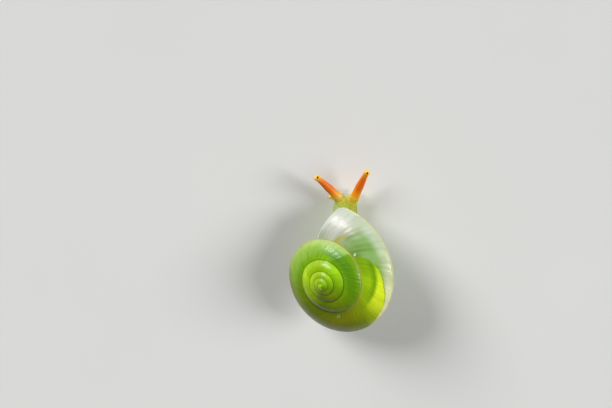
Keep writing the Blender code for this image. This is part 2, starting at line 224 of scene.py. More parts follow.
# Grains and furrows of the skin, in millimetres.
TUBERCLE_HEIGHT = 0.07
TUBERCLE_MIDDLE = 0.6
TUBERCLE_EDGE = 0.55
UPPER_CELL = (0.27, 0.42, 0.27)
LOWER_CELL = (0.36, 0.31, 0.8)
LOWER_CELL_BELOW = (2.1, 0.6)
FEELER_CELL = (0.2, 0.2, 0.2)
LESS_ON_FEELER = 0.6
LESS_ON_MANTLE = 0.85
BACK_MIDDLE = 0.93
FURROW_SPREAD = 0.32
FURROW_WIDTH = 0.09
FURROW_DEPTH = 0.07
FURROW_WAVE = (0.06, 3.1)
SOLE_LINE = 0.42
SOLE_WAVE = (0.05, 2.3)

# The photograph's camera.
IMAGE_SIZE = (612, 408)
PIXEL = 0.2 * MM
APEX_PIXEL = (320.4, 286.8)
CAMERA_TILT = radians(18)
CAMERA_DISTANCE = 340 * MM
SCALE_DEPTH = 5 * MM
LENS = 100
SENSOR = 36
CLIP = (0.01, 20)

# Soft lights: direction they come from, strength, width in degrees.
LIGHTS = {
    "key": ((-0.24, 0.24, 0.2), 2.65, 28),
    "right": ((0.3, 0.05, 0.18), 2.75, 28),
    "low_front": ((-0.2, 0.37, 0.05), 1.1, 32),
}
SKY = 0.08
FLOOR_SIZE = 4
FLOOR_SQUARES = 8


def ease(u):
    u = np.clip(u, 0.0, 1.0)
    return u * u * (3 - 2 * u)


def rise(value, start, reach):
    """0 up to start, 1 from start + reach on."""
    return ease((value - start) / reach)


def fall(value, start, reach):
    """1 up to start - reach, 0 from start on."""
    return ease((start - value) / reach)


def feeler_axes(root, tip):
    along = tip - root
    side = along.cross(Vector((0, 0, 1))).normalized()
    return along, side, side.cross(along).normalized()


def eye_place(ends, aside):
    root, tip = (Vector(end) for end in ends)
    along, side, up = feeler_axes(root, tip)
    return (tip - along.normalized() * EYE_FROM_TIP + up * EYE_RAISED + side * aside) * MM


def middle_of(node):
    low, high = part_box(node)
    return (low + high) / 2


# The frame is centred over the origin, so its shapes are moved from the places above by this much.
SHIFT = middle_of("eye_left") - eye_place(UPPER_TENTACLES["left"], EYE_ASIDE["left"])
SHELL_MATRIX = (
    Matrix.Translation(APEX_PLACE + SHIFT)
    @ Matrix.Rotation(SHELL_LEAN_BACK, 4, "X")
    @ Matrix.Rotation(-SHELL_LEAN_LEFT, 4, "Y")
)


# Meshes


def linked(name, data):
    obj = bpy.data.objects.new(name, data)
    bpy.context.scene.collection.objects.link(obj)
    return obj


def new_object(name, points, faces):
    mesh = bpy.data.meshes.new(name)
    mesh.from_pydata(np.asarray(points).tolist(), [], faces)
    mesh.update()
    return linked(name, mesh)


def remove(obj):
    mesh = obj.data
    bpy.data.objects.remove(obj)
    bpy.data.meshes.remove(mesh)


@contextmanager
def edited(mesh):
    """The mesh opened for an edit, and written back after it."""
    bm = bmesh.new()
    bm.from_mesh(mesh)
    yield bm
    bm.to_mesh(mesh)
    bm.free()


def face_outwards(obj):
    with edited(obj.data) as bm:
        bmesh.ops.recalc_face_normals(bm, faces=bm.faces)
        if bm.calc_volume(signed=True) < 0:
            bmesh.ops.reverse_faces(bm, faces=bm.faces)
    return obj


def points_of(obj, kind="co"):
    flat = np.empty(len(obj.data.vertices) * 3)
    obj.data.vertices.foreach_get(kind, flat)
    return flat.reshape(-1, 3)


def set_points(obj, points):
    obj.data.vertices.foreach_set("co", np.asarray(points).ravel())
    obj.data.update()


def apply_modifiers(obj):
    graph = bpy.context.evaluated_depsgraph_get()
    made = bpy.data.meshes.new_from_object(obj.evaluated_get(graph))
    obj.modifiers.clear()
    old = obj.data
    obj.data = made
    bpy.data.meshes.remove(old)
    return obj


def cut(target, cutter):
    """Takes the cutter's body out of the target and removes the cutter."""
    modifier = target.modifiers.new("cut", "BOOLEAN")
    modifier.operation = "DIFFERENCE"
    modifier.object = cutter
    modifier.solver = "EXACT"
    apply_modifiers(target)
    remove(cutter)


def set_attributes(obj, **shares):
    for name, values in shares.items():
        attribute = obj.data.attributes.new(name, "FLOAT", "POINT")
        attribute.data.foreach_set("value", np.asarray(values, np.float32))


def ring_faces(first, second):
    count = len(first)
    return [
        (first[i], first[(i + 1) % count], second[(i + 1) % count], second[i]) for i in range(count)
    ]


def closed_tube(name, rings, ends):
    """A tube through rings of equal count, closed by a point at each end."""
    count = len(rings[0])
    points = [*np.concatenate(rings), *ends]
    numbers = [range(k * count, (k + 1) * count) for k in range(len(rings))]
    faces = []
    for first, second in zip(numbers, numbers[1:]):
        faces += ring_faces(first, second)
    for number, end in ((numbers[0], len(points) - 2), (numbers[-1], len(points) - 1)):
        faces += [(number[i - 1], number[i], end) for i in range(count)]
    return face_outwards(new_object(name, points, faces))


def in_frame(places):
    """Places in millimetres taken to the frame's metres."""
    return np.asarray(places) * MM + np.array(SHIFT)


# Shell


def keel_radius(t):
    return KEEL_RADIUS * WHORL_RATIO ** (t / tau)


def keel_drop(t):
    return KEEL_DROP * WHORL_RATIO ** (DROP_POWER * t / tau)


def upper_section(t, s):
    """Radius and height of the whorl's upper side, from the suture at s = 0 to the keel at s = 1."""
    first_whorl = np.minimum((t - FIRST_ANGLE) / tau, 1.0)
    suture = np.stack((keel_radius(t - tau), -keel_drop(t - tau)), -1) * first_whorl[..., None]
    keel = np.stack((keel_radius(t), -keel_drop(t)), -1)
    chord = keel - suture
    outward = np.stack((-chord[..., 1], chord[..., 0]), -1)
    swell = 4 * s * (1 - s) * np.minimum(1.0, 2 * first_whorl)
    return suture + chord * s[..., None] + outward * (WHORL_BULGE * swell)[..., None]


COLUMELLA_HEIGHT = -keel_drop(LIP_ANGLE - pi) - BASE_DEPTH * keel_radius(LIP_ANGLE - pi)


def base_section(t, s):
    """Radius and height of the whorl's base, from the keel at s = 0 to the columella at s = 1."""
    radius = keel_radius(t)
    share = 1 - s
    depth = BASE_DEPTH * radius * (1 - share**2) ** BASE_ROUNDNESS
    height = -keel_drop(t) - depth
    near = ease(1 - share / COLUMELLA_SHARE)
    return np.stack((share * radius, height + (COLUMELLA_HEIGHT - height) * near), -1)


def lip_shift(t, lean):
    """Turns a point near the aperture back along the whorl, so that the lip slants."""
    return -lean * ease(1 + (t - LIP_ANGLE) / LIP_LEAN_REACH)


def upper_lean(s):
    near_keel = np.maximum(0.0, (s - NOSE_START) / (1 - NOSE_START))
    return LIP_LEAN_AT_KEEL * (1 - (1 - s) ** LIP_CURVE) + NOSE_ROUNDING * near_keel**2


def base_lean(s):
    at_keel = upper_lean(np.array(1.0))
    return at_keel + (LIP_LEAN_AT_COLUMELLA - at_keel) * s


def in_space(section, t):
    return np.stack((section[..., 0] * np.cos(t), section[..., 0] * np.sin(t), section[..., 1]), -1)


def age_at(t, lean):
    return (LIP_ANGLE - t - lean) / tau


def rows_from(count):
    """Shares from 0 to 1, closer together near both ends."""
    return (1 - np.cos(np.linspace(0, pi, count + 1))) / 2


def unit(rows):
    return rows / np.linalg.norm(rows, axis=1)[:, None]


class ShellGrid:
    """Points, faces, and each face corner's age in turns and place across the whorl."""

    def __init__(self):
        self.points = []
        self.faces = []
        self.growth = []
        self.upper_rows = rows_from(UPPER_STEPS)
        self.base_rows = rows_from(BASE_STEPS * 2)[: BASE_STEPS + 1]
        self.base_rows = self.base_rows / self.base_rows[-1] * BASE_ROWS_END
        steps = round(SHELL_TURNS * TURN_STEPS)
        self.angles = LIP_ANGLE - np.arange(steps, -1, -1) * tau / TURN_STEPS
        self.make_upper(steps)
        self.make_base()

    def add(self, points):
        first = sum(len(block) for block in self.points)
        points = np.asarray(points).reshape(-1, 3)
        self.points.append(points)
        return np.arange(first, first + len(points))

    def plain_faces(self, faces, growth):
        """Faces whose corners all have the same age and place."""
        for face in faces:
            self.faces.append(tuple(int(number) for number in face))
            self.growth.extend([growth] * len(face))

    def quads(self, numbers, ages, across):
        """Faces between the rows and columns of a grid of point numbers."""
        for i in range(numbers.shape[0] - 1):
            for j in range(numbers.shape[1] - 1):
                corners = ((i, j), (i, j + 1), (i + 1, j + 1), (i + 1, j))
                self.faces.append(tuple(int(numbers[c]) for c in corners))
                self.growth.extend((ages[c], across[c]) for c in corners)

    def make_upper(self, steps):
        t, s = np.meshgrid(self.angles, self.upper_rows, indexing="ij")
        at = t + lip_shift(t, upper_lean(s))
        places = in_space(upper_section(at, s), at)
        numbers = self.add(places[:, 1:]).reshape(steps + 1, UPPER_STEPS)
        inner = self.add(places[:TURN_STEPS, 0])
        suture = np.concatenate((inner, numbers[: steps + 1 - TURN_STEPS, -1]))
        self.upper = np.concatenate((suture[:, None], numbers), 1)
        self.quads(self.upper, age_at(at, upper_lean(s)), s)
        apex = inner[0]
        fan = [(apex, inner[i], inner[i + 1]) for i in range(1, TURN_STEPS - 1)]
        fan.append((apex, inner[-1], self.upper[TURN_STEPS, 0]))
        fan += [(apex, self.upper[0, j + 1], self.upper[0, j]) for j in range(1, UPPER_STEPS)]
        self.plain_faces(fan, APEX_GROWTH)

    def make_base(self):
        t, s = np.meshgrid(self.angles[-TURN_STEPS - 1 :], self.base_rows, indexing="ij")
        at = t + lip_shift(t, base_lean(s))
        places = in_space(base_section(at, s), at)
        numbers = self.add(places[:, 1:]).reshape(TURN_STEPS + 1, BASE_STEPS)
        keel = self.upper[-TURN_STEPS - 1 :, -1]
        self.base = np.concatenate((keel[:, None], numbers), 1)
        self.quads(self.base, age_at(at, base_lean(s)), 1 + s)
        self.columella = self.add((0, 0, COLUMELLA_HEIGHT))[0]
        fan = [(self.columella, self.base[i + 1, -1], self.base[i, -1]) for i in range(TURN_STEPS)]
        self.plain_faces(fan, COLUMELLA_GROWTH)

    def lip(self):
        return np.concatenate((self.upper[-1], self.base[-1, 1:], [self.columella], self.base[0, :0:-1]))

    def aperture_ring(self, depth, inset, thin=0.0):
        """The aperture's outline moved into the whorl by depth, from 0 to 1, and narrowed by inset.

        Where thin is 1, the layer on the wall of the whorl before is only a thin callus.
        """
        t = LIP_ANGLE - depth * RECESS_ANGLE
        upper, base = self.upper_rows, self.base_rows[1:]
        back = base[::-1]
        on_upper = t - upper_lean(upper)
        on_base = t - base_lean(base)
        on_back = np.full(len(back), t)
        angles = np.concatenate((on_upper, on_base, [t - LIP_LEAN_AT_COLUMELLA], on_back))
        flat = np.concatenate((
            upper_section(on_upper, upper), base_section(on_base, base), [(0.0, COLUMELLA_HEIGHT)],
            base_section(on_back - tau, back),
        ))
        after = unit(np.roll(flat, -1, 0) - flat)
        before = unit(flat - np.roll(flat, 1, 0))
        along = after + before
        inward = unit(np.stack((along[:, 1], -along[:, 0]), 1))
        from_corner = np.linalg.norm(flat - flat[0], axis=1)
        inset = inset * np.minimum(1.0, CORNER_WALL + from_corner / CORNER_REACH)
        callus = CALLUS_WALL + (1 - CALLUS_WALL) * rise(back, *CALLUS_EDGE)
        inset[-len(back) :] *= 1 - thin * (1 - callus)
        moved = flat + inward * inset[:, None]
        near_axis = 1 - ease(moved[:, 0] / COLUMELLA_REACH)
        recess = APERTURE_INWARD * (RECESS_AT_COLUMELLA * depth * near_axis)[:, None]
        return in_space(moved, angles) + recess

    def add_inside(self):
        """The rounded lip, the aperture's inner wall and the wall that closes it, out of sight."""
        rings = [self.lip()]
        for k in range(1, LIP_STEPS):
            turn = pi * k / LIP_STEPS
            inset = SHELL_WALL * (1 - cos(turn)) / 2
            rings.append(self.add(self.aperture_ring(-LIP_BULGE * sin(turn), inset, 1.0)))
        for depth in WALL_DEPTHS:
            thin = 1 - ease(depth / CALLUS_DEPTH)
            rings.append(self.add(self.aperture_ring(depth, SHELL_WALL, thin)))
        for first, second in zip(rings, rings[1:]):
            self.plain_faces(ring_faces(first, second), INSIDE_GROWTH)
        last = rings[-1]
        middle = self.add(np.concatenate(self.points)[last].mean(0))[0]
        self.plain_faces([(last[i - 1], last[i], middle) for i in range(len(last))], INSIDE_GROWTH)


def wave(age, rate, drift_rate, drift):
    """Waves along the whorl whose spacing drifts slowly."""
    return np.sin(age * rate + drift * np.sin(age * drift_rate))


def growth_relief(age, across):
    """Height of the shell's relief: growth ridges, the keel's thread and the ridge behind the lip."""
    waves = wave(age, *GROWTH_WAVE) * np.sin(age * GROWTH_SWELL[0] + GROWTH_SWELL[1])
    waves = waves + FINE_SHARE * wave(age, *FINE_WAVE)
    fade = np.clip(across * EDGE_FADE, 0, 1) * np.clip(np.abs(1 - across) * EDGE_FADE, RELIEF_AT_KEEL, 1)
    height = GROWTH_HEIGHT * waves * fade * np.clip(GROWTH_END - age, GROWTH_LEFT, 1)
    height += LIP_RIDGE_HEIGHT * np.exp(-(((age - LIP_RIDGE_AGE) / LIP_RIDGE_WIDTH) ** 2)) * fade
    thread = np.exp(-(((across - 1) / THREAD_WIDTH) ** 2))
    return height + THREAD_HEIGHT * thread * np.clip(THREAD_END - age, 0, 1)


def make_shell():
    grid = ShellGrid()
    grid.add_inside()
    shell = new_object("shell_surface", np.concatenate(grid.points), grid.faces)
    layer = shell.data.uv_layers.new(name="growth")
    layer.data.foreach_set("uv", np.array(grid.growth, np.float32).ravel())

    corners = np.empty(len(shell.data.loops), int)
    shell.data.loops.foreach_get("vertex_index", corners)
    growth = np.array(grid.growth)
    outside = growth[:, 0] > INSIDE_GROWTH[0] / 2
    relief = np.zeros(len(shell.data.vertices))
    heights = growth_relief(growth[:, 0], growth[:, 1]) * outside
    order = np.argsort(heights)
    relief[corners[order]] = heights[order]
    face_outwards(shell)
    set_points(shell, points_of(shell) + points_of(shell, "normal") * relief[:, None])
    shell.data.transform(SHELL_MATRIX)
    shell.data.shade_smooth()
    return shell


def collar_piece(grid):
    """The mantle collar's plain shape, which fills the aperture up to just inside the lip."""
    rings = [grid.aperture_ring(depth, SHELL_WALL * COLLAR_WALL_SHARE) for depth in COLLAR_DEPTHS]
    ends = (rings[0].mean(0), rings[-1].mean(0) - APERTURE_INWARD * COLLAR_SWELL)
    collar = closed_tube("collar_piece", rings, ends)
    collar.data.transform(SHELL_MATRIX)
    return collar


# Flesh


def smooth_stations(stations, steps):
    """Rows between the given ones, on a Catmull-Rom curve through them."""
    rows = [np.array(row, float) for row in stations]
    rows = [2 * rows[0] - rows[1], *rows, 2 * rows[-1] - rows[-2]]
    out = []
    for i in range(1, len(rows) - 2):
        a, b, c, d = rows[i - 1 : i + 3]
        for u in np.arange(steps) / steps:
            cubic = (3 * b - a - 3 * c + d) * u**3
            out.append((2 * b + (c - a) * u + (2 * a - 5 * b + 4 * c - d) * u**2 + cubic) / 2)
    out.append(rows[-2])
    return out


def loft(name, rings):
    """A closed tube through rings given in millimetres."""
    return closed_tube(name, in_frame(rings), in_frame([np.mean(rings[0], 0), np.mean(rings[-1], 0)]))


def foot_piece():
    profile = smooth_stations(FOOT_PROFILE, 4)
    rings = []
    for y, x, half, height in smooth_stations(FOOT_STATIONS, LOFT_STEPS):
        right = [(x + side * half, y, max(up, 0.0) * height) for side, up in profile]
        left = [(2 * x - p[0], p[1], p[2]) for p in right[-2:0:-1]]
        rings.append(np.array(right + left))
    return loft("foot_piece", rings)


def body_piece():
    angles = np.linspace(0, tau, BODY_SIDES, endpoint=False)
    rings = []
    for y, x, bottom, top, half in smooth_stations(BODY_STATIONS, LOFT_STEPS):
        ring = np.stack((x + half * np.cos(angles), np.full(BODY_SIDES, y), np.zeros(BODY_SIDES)), 1)
        ring[:, 2] = (bottom + top) / 2 + (top - bottom) / 2 * np.sin(angles)
        rings.append(ring)
    return loft("body_piece", rings)


def feeler_axis(ends, sag, shares):
    root, tip = (Vector(end) for end in ends)
    along, side, up = feeler_axes(root, tip)
    droop = sag * np.sin(pi * np.minimum(shares, 1.0))
    middles = np.array(root) + shares[:, None] * np.array(along) - droop[:, None] * np.array(up)
    return middles, np.array(side), np.array(up)


def feeler_piece(name, ends, profile, sag):
    rows = np.array(smooth_stations(profile, 6))
    middles, side, up = feeler_axis(ends, sag, rows[:, 0])
    angles = np.linspace(0, tau, FEELER_SIDES, endpoint=False)
    round_it = np.cos(angles)[:, None] * side + np.sin(angles)[:, None] * up
    return loft(name, [middle + round_it * radius for middle, radius in zip(middles, rows[:, 1])])


def ball(name, radius, place, stretch=(1, 1, 1)):
    mesh = bpy.data.meshes.new(name)
    with edited(mesh) as bm:
        bmesh.ops.create_icosphere(bm, subdivisions=BALL_FINENESS, radius=radius)
        bmesh.ops.scale(bm, vec=stretch, verts=bm.verts)
        bmesh.ops.translate(bm, vec=place, verts=bm.verts)
    return linked(name, mesh)


def mouth_pieces():
    """Two soft lips, and the cutters for the mouth's line above and the fold between them."""
    middle = Vector(MOUTH_PLACE)
    lips = []
    for side in (-1, 1):
        place = (middle + Vector((side * LIP_SPREAD, -LIP_SET_BACK, -LIP_DROP))) * MM + SHIFT
        lips.append(ball("lip_piece", LIP_RADIUS * MM, place, LIP_SHAPE))
    line = ball("mouth_line", LIP_RADIUS * MM, middle * MM + SHIFT, MOUTH_LINE_SHAPE)
    fold_place = (middle - Vector((0, 0, LIP_DROP))) * MM + SHIFT
    fold = ball("lip_fold", LIP_RADIUS * MM, fold_place, LIP_FOLD_SHAPE)
    return lips, [line, fold]


def joined(name, pieces):
    made = bpy.data.meshes.new(name)
    with edited(made) as bm:
        for piece in pieces:
            bm.from_mesh(piece.data)
    for piece in pieces:
        remove(piece)
    return linked(name, made)


def remesh(obj, size):
    modifier = obj.modifiers.new("remesh", "REMESH")
    modifier.mode = "VOXEL"
    modifier.voxel_size = size
    return apply_modifiers(obj)


def smoothed(obj, points, times, weight):
    """Points moved towards the middle of their neighbours, by each point's own weight."""
    edges = np.empty(len(obj.data.edges) * 2, int)
    obj.data.edges.foreach_get("vertices", edges)
    first, second = edges.reshape(-1, 2).T
    count = np.bincount(edges, minlength=len(points))[:, None]
    for _ in range(times):
        total = np.empty_like(points)
        for axis in range(3):
            total[:, axis] = np.bincount(first, points[second, axis], len(points))
            total[:, axis] += np.bincount(second, points[first, axis], len(points))
        points = points + (total / count - points) * weight[:, None]
    return points


def cut_shell_from(obj):
    """Takes the shell's own body out of the flesh, which goes on a little way into the shell."""
    cutter = NODES["shell"].copy()
    cutter.data = NODES["shell"].data.copy()
    cutter.parent = None
    bpy.context.scene.collection.objects.link(cutter)
    with edited(cutter.data) as bm:
        bmesh.ops.remove_doubles(bm, verts=bm.verts, dist=WELD_WITHIN)
        bm.normal_update()
        for vert in bm.verts:
            vert.co -= vert.normal * SKIN_IN_SHELL
    cut(obj, cutter)
    keep_largest(obj)


def keep_largest(obj):
    """Drops every loose part but the one of most points."""
    with edited(obj.data) as bm:
        left = set(bm.verts)
        largest = []
        while left:
            group = [left.pop()]
            for vert in group:
                found = {edge.other_vert(vert) for edge in vert.link_edges} & left
                left -= found
                group += found
            largest = max(largest, group, key=len)
        bmesh.ops.delete(bm, geom=list(set(bm.verts) - set(largest)), context="VERTS")


def along_feeler(points, ends, profile, sag):
    """Each point's share of the way along the feeler, and its distance from the axis in radii."""
    shares = np.linspace(0, 1, AXIS_STEPS)
    middles, _, _ = feeler_axis(ends, sag, shares)
    middles = in_frame(middles)
    rows = np.array(profile)
    radii = np.interp(shares, rows[:, 0], rows[:, 1]) * MM
    share = np.zeros(len(points))
    nearest = np.full(len(points), np.inf)
    for at, middle, radius in zip(shares, middles, radii):
        away = np.linalg.norm(points - middle, axis=1)
        closer = away < nearest
        nearest = np.where(closer, away, nearest)
        share = np.where(closer, at, share)
    return share, nearest / np.maximum(np.interp(share, shares, radii), radii.max() / 2)


def feeler_shares(points):
    """How far along an upper and a lower feeler each point is, and how near an upper one's root."""
    feeler = np.zeros(len(points))
    lower_feeler = np.zeros(len(points))
    near_root = np.zeros(len(points))
    root_shares = np.linspace(0.0, ROOT_SHARE, ROOT_STEPS)
    for ends in UPPER_TENTACLES.values():
        share, away = along_feeler(points, ends, TENTACLE_PROFILE, TENTACLE_SAG)
        feeler = np.maximum(feeler, share * (1 - rise(away, *FEELER_EDGE)))
        roots = in_frame(feeler_axis(ends, TENTACLE_SAG, root_shares)[0])
        away = np.min([np.linalg.norm(points - root, axis=1) for root in roots], axis=0) / MM
        near_root = np.maximum(near_root, 1 - rise(away, *ROOT_EDGE))
    for ends in LOWER_TENTACLES.values():
        share, away = along_feeler(points, ends, LOWER_PROFILE, 0.0)
        lower_feeler = np.maximum(lower_feeler, share * (1 - rise(away, *LOWER_FEELER_EDGE)))
    return feeler, lower_feeler, near_root


def make_skin():
    grid = ShellGrid()
    collar = collar_piece(grid)
    collar_tree = BVHTree.FromObject(collar, bpy.context.evaluated_depsgraph_get())
    body = body_piece()
    cut_shell_from(body)
    lips, cutters = mouth_pieces()
    pieces = [body, foot_piece(), collar, *lips]
    for middle, radius in ROOT_RIDGES:
        pieces.append(ball("root_ridge", radius * MM, Vector(middle) * MM + SHIFT, RIDGE_SHAPE))
    for side, ends in UPPER_TENTACLES.items():
        pieces.append(feeler_piece(f"upper_{side}", ends, TENTACLE_PROFILE, TENTACLE_SAG))
    for side, ends in LOWER_TENTACLES.items():
        pieces.append(feeler_piece(f"lower_{side}", ends, LOWER_PROFILE, 0.0))
    skin = remesh(joined("skin", pieces), VOXEL)
    for cutter in cutters:
        cut(skin, cutter)
    keep_largest(skin)
    skin = remesh(skin, VOXEL)

    points = points_of(skin)
    feeler, lower_feeler, near_root = feeler_shares(points)
    from_mouth = np.linalg.norm(points - in_frame(MOUTH_PLACE), axis=1) / MM
    kept = np.maximum(rise(feeler, *KEPT_FEELER), rise(lower_feeler, *KEPT_LOWER_FEELER))
    kept = np.maximum(kept, 1 - rise(from_mouth, *KEPT_MOUTH))
    points = smoothed(skin, points, SKIN_SMOOTHING, SMOOTHING_STEP * (1 - kept) + LEAST_STEP)
    points = smoothed(skin, points, ROOT_SMOOTHING, SMOOTHING_STEP * near_root)
    points = smoothed(skin, points, LAST_SMOOTHING, np.full(len(points), SMOOTHING_STEP))
    flat = np.minimum(points[:, 2], 0.0)
    points[:, 2] = np.where(points[:, 2] < SOLE_SNAP, flat, points[:, 2])
    set_points(skin, points)

    places = (points - np.array(SHIFT)) / MM
    from_collar = np.array([collar_tree.find_nearest(Vector(point))[3] for point in points])
    mantle = np.maximum(0.0, 1 - from_collar / MANTLE_REACH)
    on_feeler = rise(np.maximum(feeler * 2, lower_feeler), *GRAINED_FEELER)
    relief = np.array([tubercle(*row) for row in zip(places.tolist(), on_feeler)])
    strength = rise(places[:, 2], *GRAINS_ABOVE_SOLE)
    strength = strength * (1 - LESS_ON_FEELER * on_feeler) * (1 - LESS_ON_FEELER * feeler)
    strength *= rise(from_mouth, *GRAINS_FROM_MOUTH) * (1 - LESS_ON_MANTLE * mantle)
    points = points + points_of(skin, "normal") * ((relief * strength + grooves(places)) * MM)[:, None]
    set_points(skin, points)

    set_attributes(
        skin, feeler=feeler, lower_feeler=lower_feeler, mantle=mantle, root=near_root,
        mouth=1 - rise(from_mouth, *MOUTH_EDGE), relief=relief * strength / TUBERCLE_HEIGHT,
    )
    skin.data.shade_smooth()
    return skin


def tubercle(place, on_feeler):
    """Height in millimetres of the skin's grains: long upright ones on the foot, fine ones on feelers."""
    x, y, z = place
    start, reach = LOWER_CELL_BELOW
    low = max(0.0, min(1.0, (start - z) / reach))
    shares = (
        (UPPER_CELL, (1 - low) * (1 - on_feeler)),
        (LOWER_CELL, low * (1 - on_feeler)),
        (FEELER_CELL, on_feeler),
    )
    height = 0.0
    for cell, share in shares:
        if share > 0:
            away, _ = noise.voronoi(Vector((x / cell[0], y / cell[1], z / cell[2])))
            edge = min(1.0, (away[1] - away[0]) / TUBERCLE_EDGE)
            height += share * edge * (2 - edge)
    return TUBERCLE_HEIGHT * (height - TUBERCLE_MIDDLE)


def grooves(places):
    """Depth in millimetres of the long furrows: two along the neck's back, and one above the sole."""
    x, y, z = places.T
    furrows = np.zeros(len(places))
    on_back = rise(z, *FURROWS_ABOVE) * fall(y, *FURROWS_BEHIND) * rise(y, *FURROWS_BEFORE)
    for side in (-1, 1):
        sway = FURROW_WAVE[0] * np.sin(y * FURROW_WAVE[1] + side)
        middle = BACK_MIDDLE + side * (FURROW_SPREAD + sway)
        furrows += on_back * np.exp(-(((x - middle) / FURROW_WIDTH) ** 2))
    sole_line = SOLE_LINE + SOLE_WAVE[0] * np.sin(y * SOLE_WAVE[1])
    furrows += np.exp(-(((z - sole_line) / FURROW_WIDTH) ** 2)) * fall(y, *SOLE_LINE_BEHIND)
    return -FURROW_DEPTH * furrows


# Materials


def linear(colour):
    """A colour given as 0 to 255 in the display's own scale, in the render's linear scale."""
    shares = [c / 255 for c in colour]
    return [s / 12.92 if s <= 0.04045 else ((s + 0.055) / 1.055) ** 2.4 for s in shares] + [1.0]


class Tree:
    """Builds a material's nodes, taking numbers, colours or sockets as inputs."""

    def __init__(self, name):
        self.material = bpy.data.materials.new(name)
        self.material.use_nodes = True
        self.nodes = self.material.node_tree.nodes
        self.links = self.material.node_tree.links
        self.shader = self.nodes["Principled BSDF"]
        self.place = self.node("ShaderNodeTexCoord").outputs["Object"]
        self.colour = None

    def put(self, socket, value):
        if isinstance(value, bpy.types.NodeSocket):
            self.links.new(value, socket)
        else:
            socket.default_value = value

    def node(self, kind, inputs=(), **settings):
        made = self.nodes.new(kind)
        for name, value in settings.items():
            setattr(made, name, value)
        for key, value in dict(inputs).items():
            self.put(made.inputs[key], value)
        return made

    def math(self, operation, *values):
        made = self.nodes.new("ShaderNodeMath")
        made.operation = operation
        for socket, value in zip(made.inputs, values):
            self.put(socket, value)
        return made.outputs[0]

    def plus(self, first, second):
        return self.math("ADD", first, second)

    def minus(self, first, second):
        return self.math("SUBTRACT", first, second)

    def over(self, first, second):
        return self.math("DIVIDE", first, second)

    def times(self, *values):
        product = values[0]
        for value in values[1:]:
            product = self.math("MULTIPLY", product, value)
        return product

    def span(self, value, low, high, to_low=0.0, to_high=1.0):
        """Value taken smoothly from the range low to high to the range to_low to to_high."""
        inputs = {"Value": value, "From Min": low, "From Max": high, "To Min": to_low, "To Max": to_high}
        return self.node("ShaderNodeMapRange", inputs, interpolation_type="SMOOTHSTEP").outputs["Result"]

    def peak(self, value, centre, width):
        """1 where value is at centre, falling to 0 at width away."""
        away = self.math("ABSOLUTE", self.minus(value, centre))
        return self.span(away, 0.0, width, 1.0, 0.0)

    def mix(self, share, first, second, blend="MIX"):
        """Two colours mixed, each a socket or 0 to 255 in the display's scale."""
        made = self.node("ShaderNodeMix", data_type="RGBA", blend_type=blend)
        self.put(made.inputs[0], share)
        for socket, colour in ((made.inputs[6], first), (made.inputs[7], second)):
            self.put(socket, linear(colour) if isinstance(colour, tuple) else colour)
        return made.outputs[2]

    def paint(self, share, colour, blend="MIX"):
        """Lays a colour over the material's colour so far."""
        self.colour = self.mix(share, self.colour, colour, blend)

    def stops(self, value, places, colours):
        made = self.node("ShaderNodeValToRGB", {0: value})
        elements = made.color_ramp.elements
        while len(elements) < len(places):
            elements.new(0.5)
        for element, place, colour in zip(elements, places, colours):
            element.position = place
            element.color = colour
        return made.outputs[0]

    def ramp(self, value, table):
        """A colour that follows value through the table's places."""
        return self.stops(value, [place for place, _ in table], [linear(colour) for _, colour in table])

    def curve(self, value, table):
        """A number that follows value through the table's places, straight between them."""
        low, high = table[0][0], table[-1][0]
        top = max(height for _, height in table)
        places = [(place - low) / (high - low) for place, _ in table]
        greys = [(height / top, height / top, height / top, 1.0) for _, height in table]
        return self.times(self.stops(self.over(self.minus(value, low), high - low), places, greys), top)

    def noise(self, scale, detail=2.0, roughness=0.5, vector=None):
        inputs = {"Scale": scale, "Detail": detail, "Roughness": roughness}
        return self.node("ShaderNodeTexNoise", {**inputs, "Vector": vector or self.place}).outputs[0]

    def stretched(self, vector, scale):
        return self.node("ShaderNodeVectorMath", {0: vector, 1: scale}, operation="MULTIPLY").outputs[0]

    def bump(self, height, distance, strength=1.0, normal=None):
        inputs = {"Height": height, "Distance": distance, "Strength": strength}
        made = self.node("ShaderNodeBump", inputs)
        if normal:
            self.links.new(normal, made.inputs["Normal"])
        return made.outputs[0]

    def finish(self, **values):
        self.put(self.shader.inputs["Base Color"], self.colour)
        for name, value in values.items():
            self.put(self.shader.inputs[name.replace("_", " ")], value)
        return self.material


# Colours are 0 to 255 in the display's scale. On the shell, age is in turns back from the lip.

# The last 1.2 turns beside the suture, in the middle and by the keel: age as a share of them, colour.
COLOURED_TURNS = 1.2
# Their olive band from 0.36 to 0.6, on the whorl's underside, is partly the shell's colour and partly
# painted shade.
SUTURE_COLOURS = (
    (0.0, (184, 192, 170)), (0.045, (204, 206, 188)), (0.085, (164, 188, 130)), (0.13, (116, 160, 62)),
    (0.36, (114, 130, 8)), (0.5, (98, 114, 6)), (0.6, (112, 142, 14)), (0.7, (124, 176, 20)),
    (0.88, (140, 198, 12)), (0.9, (136, 194, 10)), (0.91, (106, 166, 6)), (1.0, (104, 164, 6)),
)
MIDDLE_COLOURS = (
    (0.0, (210, 212, 205)), (0.05, (196, 196, 183)), (0.075, (146, 166, 118)), (0.1, (130, 170, 96)),
    (0.12, (118, 158, 78)), (0.14, (140, 176, 104)), (0.36, (140, 140, 8)), (0.5, (102, 110, 4)),
    (0.58, (114, 138, 8)), (0.66, (132, 176, 46)), (0.75, (147, 187, 66)), (0.83, (136, 182, 54)),
    (0.88, (108, 156, 68)), (0.904, (106, 154, 66)), (0.91, (84, 136, 4)), (1.0, (84, 136, 4)),
)
